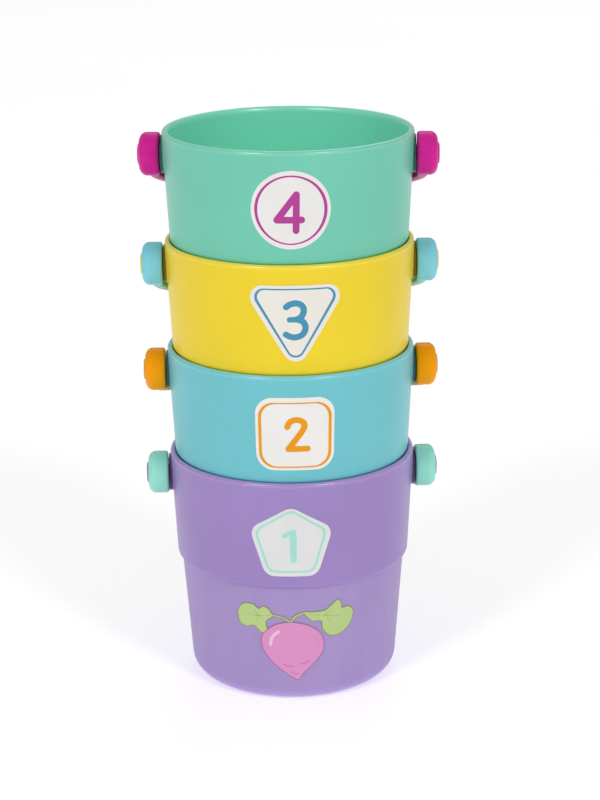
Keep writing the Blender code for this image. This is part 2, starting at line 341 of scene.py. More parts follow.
def matte_skin(nodes, tone, gloss, even, drawn, top):
    """tone and gloss, hazier and rougher below the height top, in metres."""
    height = nodes.add("SeparateXYZ")
    nodes.wire(even, height.inputs["Vector"])
    matte = nodes.spread(height.outputs["Z"], 1, 0, top - 0.5 * MM, top + 0.5 * MM)
    cloud = nodes.spread(nodes.noise(drawn, 130, 3), *MATTE_HAZE)
    tone = nodes.blend(nodes.product(matte, cloud), tone, WHITE)
    return tone, nodes.shifted(gloss, matte, MATTE_ROUGHNESS)


def moulded_plastic(name, colour, roughness=0.33, sheen=0.3, matte_below=None):
    """Satin moulded plastic with a shinier lip and a fine skin. The wall below the height
    matte_below, in metres, has a matte skin."""
    nodes = Nodes(name)
    shader = nodes.shader.inputs
    base = linear(colour)
    even = nodes.place((1, 1, 1))
    drawn = nodes.place((1, 1, 0.04))
    # painted light on the lip and the inside, painted shade on a boss's outer part
    tone = painted_light_and_shade(nodes, base, pigment(nodes, base, even, drawn))
    gloss = nodes.spread(nodes.noise(even, 35, 4), roughness - 0.035, roughness + 0.045)
    if matte_below is not None:
        tone, gloss = matte_skin(nodes, tone, gloss, even, drawn, matte_below)
    nodes.wire(tone, shader["Base Color"])
    lip = nodes.marked("lip")
    nodes.wire(nodes.shifted(gloss, lip, -LIP_POLISH), shader["Roughness"])
    nodes.wire(nodes.spread(lip, sheen, LIP_SHEEN, 0, 1), shader["Specular IOR Level"])
    nodes.wire(nodes.spread(lip, 0, LIP_COAT, 0, 1), shader["Coat Weight"])
    shader["Coat Roughness"].default_value = LIP_COAT_ROUGHNESS
    sink = nodes.bump(nodes.noise(even, 30, 1), 0.00012, 0.5)
    streak = nodes.bump(nodes.noise(drawn, 260, 2), 0.000004, 0.5, sink)
    skin = nodes.bump(nodes.noise(even, 2600, 2), 0.000006, 0.6, streak)
    nodes.wire(skin, shader["Normal"])
    shader["IOR"].default_value = PLASTIC_IOR
    shader["Subsurface Weight"].default_value = SUBSURFACE_SHARE
    shader["Subsurface Radius"].default_value = SUBSURFACE_SPREAD
    shader["Subsurface Scale"].default_value = SUBSURFACE_SCALE
    nodes.material.diffuse_color = base
    return nodes.material


def printed_film(name, colour, roughness=0.42):
    """Ink on a vinyl label: uneven ink, a fine dot grain and a soft laminate sheen."""
    nodes = Nodes(name)
    base = linear(colour)
    even = nodes.place((1, 1, 1))
    cloud = nodes.spread(nodes.noise(even, 90, 4), 0, 1)
    tone = nodes.blend(cloud, shaded(base, 0.975), shaded(base, 1.02))
    grain = nodes.spread(nodes.noise(even, 3800, 1), 0, 0.3, 0.55, 0.75)
    tone = nodes.blend(grain, tone, shaded(base, 0.93))
    nodes.wire(tone, nodes.shader.inputs["Base Color"])
    gloss = nodes.spread(nodes.noise(even, 60, 3), roughness - 0.04, roughness + 0.05)
    nodes.wire(gloss, nodes.shader.inputs["Roughness"])
    ripple = nodes.bump(nodes.noise(even, 110, 1), 0.00004, 0.5)
    skin = nodes.bump(nodes.noise(even, 2200, 2), 0.000004, 0.5, ripple)
    nodes.wire(skin, nodes.shader.inputs["Normal"])
    nodes.shader.inputs["IOR"].default_value = PLASTIC_IOR
    nodes.shader.inputs["Specular IOR Level"].default_value = FILM_SHEEN
    nodes.material.diffuse_color = base
    return nodes.material


# ---------------------------------------------------------------- meshes


def mesh_object(name, points, faces, material):
    """An object from points in millimetres, smooth except across its creases."""
    mesh = bpy.data.meshes.new(name)
    mesh.from_pydata([(x * MM, y * MM, z * MM) for x, y, z in points], [], faces)
    mesh.validate()
    mesh.materials.append(material)
    mesh.polygons.foreach_set("use_smooth", [True] * len(mesh.polygons))
    mesh.set_sharp_from_angle(angle=CREASE_ANGLE)
    made = bpy.data.objects.new(name, mesh)
    bpy.context.scene.collection.objects.link(made)
    return made


def combined(target, helpers):
    """target with each (operation, helper) worked in for good, and the helpers removed."""
    for operation, helper in helpers:
        step = target.modifiers.new(operation, "BOOLEAN")
        step.operation = operation
        step.solver = "EXACT"
        step.object = helper
    bpy.context.view_layer.update()
    result = target.evaluated_get(bpy.context.evaluated_depsgraph_get())
    mesh = bpy.data.meshes.new_from_object(result)
    target.modifiers.clear()
    target.data = mesh
    mesh.polygons.foreach_set("use_smooth", [True] * len(mesh.polygons))
    mesh.set_sharp_from_angle(angle=CREASE_ANGLE)
    for operation, helper in helpers:
        bpy.data.objects.remove(helper)
    return target


def arc(centre_r, centre_z, radius, start, end, steps, radius_z=None):
    """Points (r, z) round a circle or an upright ellipse, between two angles in degrees."""
    found = []
    for i in range(steps + 1):
        angle = math.radians(start + (end - start) * i / steps)
        r = centre_r + radius * math.cos(angle)
        z = centre_z + (radius if radius_z is None else radius_z) * math.sin(angle)
        found.append((r, z))
    return found


def with_rings(profile, spacing):
    """The profile with more points along its long straight stretches."""
    found = [profile[0]]
    for (r0, z0), (r1, z1) in zip(profile, profile[1:]):
        parts = max(1, round(math.hypot(r1 - r0, z1 - z0) / spacing))
        for i in range(1, parts + 1):
            share = i / parts
            found.append((r0 + (r1 - r0) * share, z0 + (z1 - z0) * share))
    return found


def even_angles(segments):
    return [2 * math.pi * i / segments for i in range(segments)]


def revolved(profile, angles, swell=None):
    """A closed surface from points (r, z) that start and end on the Z axis.
    swell(r, angle) gives how far a point stands out from the plain surface."""
    rings = profile[1:-1]
    points = [(0.0, 0.0, profile[0][1])]
    for r, z in rings:
        for angle in angles:
            out = r + (swell(r, angle) if swell else 0.0)
            points.append((out * math.cos(angle), out * math.sin(angle), z))
    points.append((0.0, 0.0, profile[-1][1]))
    last = len(points) - 1
    segments = len(angles)
    faces = []
    for j in range(segments):
        k = (j + 1) % segments
        faces.append((0, 1 + k, 1 + j))
        for i in range(len(rings) - 1):
            low = 1 + i * segments
            high = low + segments
            faces.append((low + j, low + k, high + k, high + j))
        top = 1 + (len(rings) - 1) * segments
        faces.append((top + j, top + k, last))
    return points, faces


def outwards(points, side):
    """Turns points made along Z so that they run along +X or -X."""
    turn = Matrix.Rotation(side * math.pi / 2, 4, "Y")
    return [tuple(turn @ Vector(point)) for point in points]


# ---------------------------------------------------------------- pail


def pail_profile():
    """Up the outside, over the lip and down the inside, from the middle of the underside."""
    lip_r = RIM_RADIUS - LIP_RADIUS
    lip_z = CUP_HEIGHT - LIP_RADIUS
    shoulder_r = BAND_BOTTOM_RADIUS - SHOULDER_RADIUS
    fillet_r = BASE_RADIUS - BASE_FILLET
    found = [(0.0, FOOT_DEPTH + GATE_DEPTH)]
    found += arc(0.0, FOOT_DEPTH, GATE_RADIUS, 90, 0, 6, GATE_DEPTH)[1:]
    # The sloping edge of the recess under the base, eased at both ends
    found += [(FOOT_RADIUS - 1.0, FOOT_DEPTH), (FOOT_RADIUS - 0.6, FOOT_DEPTH - 0.12)]
    found += [(FOOT_RADIUS + 0.2, 0.1), (FOOT_RADIUS + 0.6, 0.0)]
    found += arc(fillet_r, BASE_FILLET, BASE_FILLET, -90, 0, 14)
    shoulder = arc(shoulder_r, BAND_BOTTOM_HEIGHT, SHOULDER_RADIUS, SHOULDER_START, 0, 12)
    found.append((LOWER_TOP_RADIUS, shoulder[0][1]))
    found += shoulder[1:]
    found.append((RIM_RADIUS - LIP_EDGE_LEAN, lip_z - LIP_EDGE))
    found += arc(lip_r, lip_z, LIP_RADIUS, 0, 90, 9)
    fall_z = CUP_HEIGHT - LIP_INNER_FALL
    found += arc(lip_r, fall_z, LIP_RADIUS, 90, 180, 12, LIP_INNER_FALL)[1:]
    found.append((lip_r - LIP_RADIUS - LIP_EDGE_LEAN, fall_z - LIP_EDGE))
    # The inside's step at the shoulder
    found += [(shoulder_r, BAND_BOTTOM_HEIGHT + 0.2)]
    found += [(LOWER_TOP_RADIUS - WALL, BAND_BOTTOM_HEIGHT - 0.8)]
    found += arc(fillet_r, BASE_FILLET, BASE_FILLET - WALL, 0, -90, 10)
    found.append((0.0, FLOOR))
    return with_rings(found, RING_SPACING)


def wall_radius(height):
    """Radius of the pail's outside at a height above its underside."""
    if height > BAND_BOTTOM_HEIGHT:
        low = (BAND_BOTTOM_RADIUS, BAND_BOTTOM_HEIGHT)
        high = (RIM_RADIUS, CUP_HEIGHT - LIP_RADIUS)
    else:
        low = (BASE_RADIUS, BASE_FILLET)
        high = (LOWER_TOP_RADIUS, LOWER_TOP_HEIGHT)
    share = (height - low[1]) / (high[1] - low[1])
    return low[0] + (high[0] - low[0]) * share


def post_profile():
    """The boss on the wall and the hollow post that the handle turns on, along Z."""
    found = [(0.0, BOSS_START), (BOSS_RADIUS, BOSS_START)]
    edge = BOSS_EDGE_RADIUS
    found += arc(BOSS_RADIUS - edge, BOSS_END - edge, edge, 0, 90, 4)
    found += [(POST_RADIUS, BOSS_END)]
    edge = POST_EDGE_RADIUS
    found += arc(POST_RADIUS - edge, POST_END - edge, edge, 0, 90, 4)
    found += [(POST_BORE_RADIUS, POST_END), (POST_BORE_RADIUS, POST_BORE_START)]
    found.append((0.0, POST_BORE_START))
    return found


def make_pail(name, material):
    """A pail with its two posts, as one mesh."""
    points, faces = revolved(pail_profile(), even_angles(PAIL_SEGMENTS))
    pail = mesh_object(name + "_pail", points, faces, material)
    helpers = []
    for side in (-1, 1):
        points, faces = revolved(post_profile(), even_angles(PIVOT_SEGMENTS))
        points = [(x, y, z + PIVOT_HEIGHT) for x, y, z in outwards(points, side)]
        helpers.append(("UNION", mesh_object(name + "_post", points, faces, material)))
    combined(pail, helpers)
    mark_zones(pail.data)
    return pail


def mark_zones(mesh):
    """Stores how far each point is through the wall, from 0 on the outside to 1 on the
    inside, whether it is on the rounded lip, and whether it gets painted shade behind an eye."""
    inside = mesh.attributes.new("inside", "FLOAT", "POINT")
    lip = mesh.attributes.new("lip", "FLOAT", "POINT")
    painted_shade = mesh.attributes.new("painted_shade", "FLOAT", "POINT")
    for i, point in enumerate(mesh.vertices):
        x, y, z = point.co / MM
        r = math.hypot(x, y)
        depth = (wall_radius(z) - r) / WALL
        inside.data[i].value = min(1.0, max(0.0, depth)) if z > FOOT_DEPTH + GATE_DEPTH else 0.0
        bottom = CUP_HEIGHT - (LIP_RADIUS if depth < 0.5 else LIP_INNER_FALL)
        lip.data[i].value = 1.0 if z > bottom - LIP_SLACK else 0.0
        # painted shade mask: the outer half of each boss, behind the eye
        past = (abs(x) - wall_radius(z)) / (BOSS_END - wall_radius(z))
        painted_shade.data[i].value = 1.0 if past > 0.5 else 0.0


def make_cap(name, word, side, material):
    """The cap pressed into a post: a stem, a rounded head and a gate dimple."""
    rim = CAP_HEAD_RADIUS - CAP_EDGE_RADIUS
    profile = [(0.0, CAP_STEM_START), (CAP_STEM_RADIUS - CAP_STEM_CHAMFER, CAP_STEM_START)]
    profile.append((CAP_STEM_RADIUS, CAP_STEM_START + CAP_STEM_CHAMFER))
    profile.append((CAP_STEM_RADIUS, CAP_HEAD_START))
    profile.append((CAP_HEAD_RADIUS - CAP_HEAD_CHAMFER, CAP_HEAD_START))
    profile.append((CAP_HEAD_RADIUS, CAP_HEAD_START + CAP_HEAD_CHAMFER))
    profile += arc(rim, CAP_EDGE_END - CAP_EDGE_RADIUS, CAP_EDGE_RADIUS, 0, 80, 8)
    profile += arc(0.0, CAP_EDGE_END, rim, 20, 75, 6, CAP_DOME)[1:]
    profile += [(CAP_DIMPLE_RADIUS, CAP_EDGE_END + CAP_DOME)]
    profile += [(CAP_DIMPLE_RADIUS - 0.2, CAP_EDGE_END + CAP_DOME - CAP_DIMPLE_DEPTH)]
    profile += [(0.0, CAP_EDGE_END + CAP_DOME - CAP_DIMPLE_DEPTH)]
    points, faces = revolved(profile, even_angles(PIVOT_SEGMENTS))
    points = [(x, y, z + PIVOT_HEIGHT) for x, y, z in outwards(points, side)]
    return mesh_object(name + "_cap_" + word, points, faces, material)


# ---------------------------------------------------------------- handle


def parting_ridge(across):
    """Height of the mould's parting line at a distance from the handle's mid-plane."""
    share = min(1.0, abs(across) / PARTING_HALF_WIDTH)
    return PARTING_HEIGHT * (1 - share * share) ** 2


def eye_swell(r, angle):
    """Swell of the parting line round an eye, outside its counterbore."""
    if r < EYE_COUNTERBORE_RADIUS:
        return 0.0
    return parting_ridge(r * math.cos(angle))


def eye_angles():
    """Even steps, with more where the parting line crosses the eye's front and back."""
    found = even_angles(EYE_SEGMENTS)
    for middle in (0.5 * math.pi, 1.5 * math.pi):
        for i in (-3, -2, -1, 1, 2, 3):
            found.append(middle + i * PARTING_HALF_WIDTH / EYE_RADIUS / 3)
    return sorted(found)


def eye_profile():
    """The eye's plain outside: a rounded back edge, a rounder front one and a slight dome."""
    found = [(0.0, EYE_START)]
    edge = EYE_INNER_ROUND
    found += arc(EYE_RADIUS - edge, EYE_START + edge, edge, -90, 0, 6)
    corner_r = EYE_RADIUS - EYE_CORNER_RADIUS
    corner_z = EYE_FACE - EYE_CORNER_DEPTH
    found += arc(corner_r, corner_z, EYE_CORNER_RADIUS, 0, 86, 16, EYE_CORNER_DEPTH)
    found.append((0.0, EYE_FACE + EYE_FACE_DOME))
    return with_rings(found, EYE_RING_SPACING)


def bore_profile():
    """The cutter of an eye's bore and counterbore, which reaches past the eye both ways."""
    return [
        (0.0, EYE_START - 2.0),
        (EYE_BORE_RADIUS, EYE_START - 2.0),
        (EYE_BORE_RADIUS, EYE_COUNTERBORE_START),
        (EYE_COUNTERBORE_RADIUS, EYE_COUNTERBORE_START),
        (EYE_COUNTERBORE_RADIUS, EYE_COUNTERBORE_END - 0.25),
        (EYE_COUNTERBORE_RADIUS + 0.1, EYE_COUNTERBORE_END - 0.08),
        (EYE_COUNTERBORE_RADIUS + 0.9, EYE_COUNTERBORE_END + 0.6),
        (0.0, EYE_COUNTERBORE_END + 0.6),
    ]


def hoop_section(half_width):
    """(outwards, across) round the handle's band, with the parting line on its outer face."""
    c = HOOP_ROUND
    w = half_width
    t = HOOP_THICKNESS
    found = [(0.0, 0.0)]
    found += arc(c, w - c, c, 180, 90, 5)
    found += arc(t - c, w - c, c, 90, 0, 5)
    for i in (3, 2, 1, 0, -1, -2, -3):
        across = PARTING_HALF_WIDTH * i / 3
        found.append((t + parting_ridge(across), across))
    found += arc(t - c, c - w, c, 0, -90, 5)
    found += arc(c, c - w, c, -90, -180, 5)
    return found


def hoop_mesh():
    """The band from one eye to the other."""
    points = []
    for i in range(HOOP_STEPS + 1):
        angle = math.pi * i / HOOP_STEPS
        near = min(angle, math.pi - angle)
        share = min(1.0, near / HOOP_TAPER_END)
        share = share * share * (3 - 2 * share)
        width = HOOP_ROOT_HALF_WIDTH + (HOOP_HALF_WIDTH - HOOP_ROOT_HALF_WIDTH) * share
        nx = math.cos(angle) / HOOP_HALF_SPAN
        ny = math.sin(angle) / HOOP_REACH
        size = math.hypot(nx, ny)
        section = hoop_section(width)
        for out, across in section:
            x = HOOP_HALF_SPAN * math.cos(angle) + out * nx / size
            y = HOOP_REACH * math.sin(angle) + out * ny / size
            points.append((x, y, across))
    count = len(section)
    faces = [tuple(reversed(range(count))), tuple(range(len(points) - count, len(points)))]
    for i in range(HOOP_STEPS):
        for j in range(count):
            k = (j + 1) % count
            low = i * count
            high = low + count
            faces.append((low + j, low + k, high + k, high + j))
    return points, faces


def make_handle(name, material):
    """A handle: its band, an eye at each end and the eyes' bores, as one mesh."""
    points, faces = hoop_mesh()
    handle = mesh_object(name + "_bail", points, faces, material)
    helpers = []
    for side in (-1, 1):
        points, faces = revolved(eye_profile(), eye_angles(), eye_swell)
        eye = mesh_object(name + "_eye", outwards(points, side), faces, material)
        helpers.append(("UNION", eye))
    for side in (-1, 1):
        points, faces = revolved(bore_profile(), even_angles(PIVOT_SEGMENTS))
        bore = mesh_object(name + "_bore", outwards(points, side), faces, material)
        helpers.append(("DIFFERENCE", bore))
    return combined(handle, helpers)


# ---------------------------------------------------------------- flat shapes
# A shape is a function of (u, v), in millimetres, that is negative inside it.


def from_segment(u, v, start, end):
    du = end[0] - start[0]
    dv = end[1] - start[1]
    along = ((u - start[0]) * du + (v - start[1]) * dv) / max(du * du + dv * dv, 1e-12)
    along = np.clip(along, 0, 1)
    return np.hypot(u - start[0] - along * du, v - start[1] - along * dv)


def stroke(points, radius):
    """A line of round-ended strokes through the points."""
    pairs = list(zip(points, points[1:]))
    return lambda u, v: np.minimum.reduce([from_segment(u, v, a, b) for a, b in pairs]) - radius


def polygon(points, grow=0.0):
    """The inside of a closed outline, its corners rounded by the growth."""
    def field(u, v):
        nearest = np.full(u.shape, np.inf)
        inside = np.zeros(u.shape, bool)
        for before, here in zip(points[-1:] + points[:-1], points):
            nearest = np.minimum(nearest, from_segment(u, v, before, here))
            rise = here[1] - before[1]
            if rise:
                crossing = before[0] + (here[0] - before[0]) * (v - before[1]) / rise
                inside ^= ((before[1] > v) != (here[1] > v)) & (u < crossing)
        return np.where(inside, -nearest, nearest) - grow
    return field


def ellipse(cu, cv, half_width, half_height):
    small = min(half_width, half_height)
    return lambda u, v: (np.hypot((u - cu) / half_width, (v - cv) / half_height) - 1) * small


def union(*shapes):
    return lambda u, v: np.minimum.reduce([shape(u, v) for shape in shapes])


def without(shape, hole):
    return lambda u, v: np.maximum(shape(u, v), -hole(u, v))


def grown(shape, by):
    return lambda u, v: shape(u, v) - by


def smoothed(p, q, r, s, t):
    """The value at t, from 0 at q to 1 at r, of a smooth line through p, q, r and s."""
    bend = (2 * p - 5 * q + 4 * r - s) * t**2
    twist = (3 * q - p - 3 * r + s) * t**3
    return 0.5 * (2 * q + (r - p) * t + bend + twist)


def curve(points, closed=False, steps=8):
    """A smooth line through the points."""
    count = len(points)
    found = []
    for i in range(count if closed else count - 1):
        if closed:
            a, b, c, d = (points[(i + j) % count] for j in (-1, 0, 1, 2))
        else:
            a, b, c, d = (points[min(max(i + j, 0), count - 1)] for j in (-1, 0, 1, 2))
        for step in range(steps):
            t = step / steps
            found.append(tuple(smoothed(p, q, r, s, t) for p, q, r, s in zip(a, b, c, d)))
    if not closed:
        found.append(points[-1])
    return found


def blob(*points):
    """The inside of a smooth closed line through the points."""
    return polygon(curve(list(points), closed=True))


def rounded_box(left, right, bottom, top, radius):
    corners = [(left + radius, bottom + radius), (right - radius, bottom + radius)]
    corners += [(right - radius, top - radius), (left + radius, top - radius)]
    return polygon(corners, radius)


# ---------------------------------------------------------------- labels


def sheet(name, shape, box, step, layer, spot, material):
    """A thin closed sheet bent round the pail, wherever the shape is.
    box is (left, right, bottom, top) round the shape, layer its inner and outer distance
    from the wall, and spot the height and the turn of its origin on the pail."""
    left, right, bottom, top = box
    height, turn = spot
    across = np.arange(left, right + step, step)
    up = np.arange(bottom, top + step, step)
    field = shape(*np.meshgrid(across, up, indexing="ij"))
    inside = field < 0
    flat = []
    index = {}

    def vertex(a, b=None):
        """The grid's point a, or the shape's edge between points a and b."""
        key = (a, b) if b is None or a < b else (b, a)
        if key not in index:
            u, v = across[a[0]], up[a[1]]
            if b is not None:
                share = field[a] / (field[a] - field[b])
                share = min(max(share, EDGE_MARGIN), 1 - EDGE_MARGIN)
                u += share * (across[b[0]] - u)
                v += share * (up[b[1]] - v)
            index[key] = len(flat)
            flat.append((u, v))
        return index[key]

    tops = []
    rims = []
    for i in range(len(across) - 1):
        for j in range(len(up) - 1):
            corners = [(i, j), (i + 1, j), (i + 1, j + 1), (i, j + 1)]
            if not any(inside[corner] for corner in corners):
                continue
            ring = []
            leaving = []
            for a, b in zip(corners, corners[1:] + corners[:1]):
                if inside[a]:
                    ring.append(vertex(a))
                if inside[a] != inside[b]:
                    if inside[a]:
                        leaving.append(len(ring))
                    ring.append(vertex(a, b))
            tops.append(tuple(ring))
            rims += [(ring[k], ring[(k + 1) % len(ring)]) for k in leaving]
    points = []
    for distance in layer:
        for u, v in flat:
            z = height + v
            angle = u / wall_radius(height) + turn
            r = wall_radius(z) + distance
            points.append((r * math.sin(angle), -r * math.cos(angle), z))
    count = len(flat)
    faces = [tuple(count + k for k in ring) for ring in tops]
    faces += [tuple(reversed(ring)) for ring in tops]
    faces += [(count + b, count + a, a, b) for a, b in rims]
    return mesh_object(name, points, faces, material)


def disc_label():
    film = ellipse(0, 0, 15.4, 15.3)
    line = without(ellipse(0.05, 0, 14.0, 13.55), ellipse(0, -0.05, 12.8, 12.95))
    number = union(
        stroke([(2.1, 6.1), (-5.4, -3.8), (4.05, -3.8)], 1.3),
        stroke([(2.1, 6.1), (1.9, -7.95)], 1.3),
    )
    return film, line, number


def triangle_label():
    film = polygon([(-12.3, 10.2), (0, -10.2), (12.3, 10.2)], 5.1)
    outer = polygon([(-12.0, 10.4), (0, -10.0), (12.0, 10.4)], 3.65)
    inner = polygon([(-11.6, 10.55), (0, -9.9), (11.6, 10.55)], 2.95)
    waist = (0.5, 1.75)
    top = [(-3.5, 6.75), (-2.2, 7.7), (0.1, 8.25), (2.2, 7.5), (3.2, 5.5), (2.4, 3.0), waist]
    bottom = [waist, (2.8, 0.8), (3.85, -1.65), (2.7, -4.4), (0, -5.45), (-2.2, -5.1)]
    bottom.append((-3.7, -4.3))
    number = union(
        stroke(curve(top), 1.22),
        stroke(curve(bottom), 1.22),
        stroke([waist, (-2.2, 1.65)], 1.1),
    )
    return film, without(outer, inner), number


def square_label():
    film = rounded_box(-15.6, 15.6, -15.1, 15.1, 7.2)
    outer = rounded_box(-14.4, 14.4, -14.0, 13.1, 6.3)
    inner = rounded_box(-13.2, 13.2, -13.45, 12.55, 5.9)
    top = [(-3.05, 3.1), (-1.9, 5.2), (0.6, 6.0), (3.0, 5.1), (3.6, 3.2), (2.4, 0.7)]
    number = union(
        stroke(curve(top), 1.2),
        stroke([(2.4, 0.7), (-2.7, -6.1), (4.85, -6.1)], 1.2),
    )
    return film, without(outer, inner), number


def pentagon_label():
    film = polygon([(0, 9.5), (-10.7, 3.2), (-6.8, -9.4), (6.8, -9.4), (10.7, 3.2)], 5.1)
    outer = polygon([(0.0, 9.7), (-10.3, 3.3), (-6.5, -9.0), (6.3, -9.0), (9.9, 3.3)], 3.9)
    inner = polygon([(0.0, 9.5), (-9.9, 3.2), (-6.3, -8.8), (6.1, -8.8), (9.5, 3.2)], 3.3)
    number = union(
        stroke([(0.75, 4.4), (0.9, -7.4)], 1.3),
        stroke([(0.7, 4.7), (-2.8, 2.95)], 0.95),
    )
    return film, without(outer, inner), number


def make_number(name, design, spot, paper, ink):
    """A number label: its film, the line printed round it and its numeral."""
    film, line, number = design
    box = (-18, 18, -17, 17)
    base = sheet(name + "_number_film", film, box, FILM_STEP, FILM, spot, paper)
    edge = sheet(name + "_number_line", line, box, PRINT_STEP, PRINT, spot, ink)
    digit = sheet(name + "_numeral", number, (-8, 8, -11, 11), PRINT_STEP, PRINT, spot, ink)
    return base, edge, digit


def radish():
    root = blob((0, 0), (-6.4, -1.6), (-11.3, -6.2), (-11.6, -11.6), (-8.6, -17.0),
                (-3.9, -21.6), (1.2, -25.2), (3.7, -26.2), (5.4, -23.6), (8.8, -20.2),
                (13.1, -15.2), (14.2, -10.0), (12.0, -4.8), (6.5, -1.2))
    left = blob((-6.8, 2.2), (-8.1, 5.5), (-10.7, 6.6), (-12.5, 5.5), (-15.1, 7.3), (-19.1, 6.8),
                (-21.7, 3.1), (-21.1, -1.8), (-18.0, -3.5), (-14.7, -2.6), (-11.6, -5.5),
                (-9.0, -4.6), (-9.4, -0.2))
    right = blob((5.6, 4.2), (9.8, 4.3), (14.2, 4.6), (17.6, 7.2), (19.8, 8.7), (21.4, 6.5),
                 (21.6, 4.6), (24.8, 4.6), (27.0, 1.7), (25.7, -3.3), (21.6, -7.0), (16.6, -7.3),
                 (13.3, -4.0), (12.6, -0.4), (8.7, 0.2))
    stems = union(
        stroke(curve([(0.4, -0.3), (-2.6, 1.8), (-7.6, 3.0)]), 0.55),
        stroke(curve([(0.4, -0.3), (2.4, 2.4), (6.2, 4.0)]), 0.6),
    )
    veins = union(
        stroke(curve([(-8.2, 2.6), (-12.6, 2.2), (-17.6, 2.6)]), 0.16),
        stroke(curve([(-12.4, 2.2), (-14.2, 4.2)]), 0.13),
        stroke(curve([(-12.0, 2.2), (-13.4, 0.0)]), 0.13),
        stroke(curve([(7.4, 3.2), (14.0, 2.2), (20.6, 0.8)]), 0.16),
        stroke(curve([(14.4, 2.2), (17.6, 5.0)]), 0.13),
        stroke(curve([(14.8, 2.1), (17.0, -1.6)]), 0.13),
    )
    rings = union(
        stroke(curve([(-3.2, -18.8), (-0.8, -19.8), (1.6, -20.0)]), 0.16),
        stroke(curve([(8.2, -17.6), (6.4, -18.6), (4.6, -19.0)]), 0.16),
        stroke(curve([(0.2, -22.6), (1.8, -23.2), (3.4, -23.2)]), 0.14),
    )
    shine = stroke(curve([(-8.0, -10.4), (-7.2, -7.0), (-4.6, -4.4)]), 0.65)
    return {
        "root": root, "leaves": union(left, right, stems), "veins": veins,
        "rings": rings, "shine": shine, "box": (-23, 28, -29, 12),
        "root_colour": (222, 148, 198), "leaf_colour": (185, 208, 135),
    }


def leaf_at(u, v, length, width, angle):
    """A pointed leaf that grows from (u, v), leaning by an angle in degrees from upright."""
    lean = math.radians(angle)
    along = (math.sin(lean), math.cos(lean))
    side = (along[1], -along[0])
    right_edge = [(0.2, 0.7), (0.5, 1), (0.8, 0.7)]
    left_edge = [(share, -out) for share, out in reversed(right_edge)]
    found = []
    for share, out in [(0, 0), *right_edge, (1, 0), *left_edge]:
        reach = share * length
        swing = out * width / 2
        across = u + along[0] * reach + side[0] * swing
        found.append((across, v + along[1] * reach + side[1] * swing))
    return blob(*found)


def even_root(left, tip):
    """A root with the same outline on both sides: left runs down its left side."""
    right = [(-u, v) for u, v in reversed(left)]
    return blob((0, 0), *left, (0, tip), *right)


def carrot():
    left = [(-5.2, -0.8), (-7.6, -4.6), (-6.6, -10.6), (-4.0, -17.4), (-1.0, -24.4)]
    fan = ((9, -48), (10, 0), (9, 48))
    leaves = [leaf_at(0, -0.6, reach, 4.2, angle) for reach, angle in fan]
    rings = [stroke(curve([(u, v), (u + 1.6, v - 0.5), (u + 3.2, v - 0.4)]), 0.17)
             for u, v in ((-6.4, -7.4), (2.6, -10.4), (-4.4, -14.2), (0.6, -17.8))]
    veins = [stroke([(0, 0.4), (0, 7.4)], 0.15), stroke([(-0.8, 0.4), (-5.2, 4.2)], 0.15)]
    veins.append(stroke([(0.8, 0.4), (5.2, 4.2)], 0.15))
    return {
        "root": even_root(left, -25.6), "leaves": union(*leaves),
        "veins": union(*veins), "rings": union(*rings),
        "shine": stroke(curve([(-5.0, -8.4), (-5.2, -5.2), (-3.6, -2.8)]), 0.6),
        "box": (-12, 12, -28, 12),
        "root_colour": (236, 150, 72), "leaf_colour": (150, 196, 120),
    }


def plum():
    root = ellipse(0, -12, 12.2, 11.8)
    stalk = stroke(curve([(0, -0.8), (-0.3, 1.6), (0.3, 4.0)]), 0.6)
    leaves = union(leaf_at(0.6, 0.4, 11.5, 5.6, 66), stalk)
    veins = stroke(curve([(1.8, 1.0), (6.0, 2.9), (9.4, 4.3)]), 0.15)
    cleft = [(0.2, -1.4), (2.6, -6.0), (3.2, -12.0), (2.2, -18.0), (0.4, -22.2)]
    rings = stroke(curve(cleft), 0.2)
    return {
        "root": root, "leaves": leaves, "veins": veins, "rings": rings,
        "shine": stroke(curve([(-8.6, -14.0), (-8.4, -9.4), (-5.4, -5.4)]), 0.75),
        "box": (-14, 14, -26, 8),
        "root_colour": (140, 104, 178), "leaf_colour": (160, 198, 120),
    }


def beet():
    left = [(-6.6, -1.4), (-12.0, -6.4), (-12.4, -12.0), (-8.6, -17.6), (-2.8, -20.6)]
    left.append((-0.9, -23.6))
    fan = ((11, -50), (10, 0), (11, 50))
    leaves = [leaf_at(0, -0.6, reach, 4.6, angle) for reach, angle in fan]
    veins = [stroke([(0, 0.4), (0, 7.2)], 0.17), stroke([(-0.8, 0.4), (-6.0, 4.6)], 0.17)]
    veins.append(stroke([(0.8, 0.4), (6.0, 4.6)], 0.17))
    rings = [stroke(curve([(u, v), (u + 2.4, v - 0.7), (u + 4.8, v - 0.6)]), 0.18)
             for u, v in ((-9.4, -13.6), (3.8, -14.8), (-3.8, -18.2))]
    return {
        "root": even_root(left, -25.4), "leaves": union(*leaves),
        "veins": union(*veins), "rings": union(*rings),
        "shine": stroke(curve([(-9.0, -10.4), (-8.4, -6.8), (-5.4, -4.0)]), 0.7),
        "box": (-15, 15, -28, 12),
        "root_colour": (186, 60, 112), "leaf_colour": (140, 190, 118),
    }


def toned(colour, factor):
    """An sRGB colour made lighter, above 1, or darker, below 1."""
    if factor > 1:
        return tuple(part + (255 - part) * (factor - 1) for part in colour)
    return tuple(part * factor for part in colour)


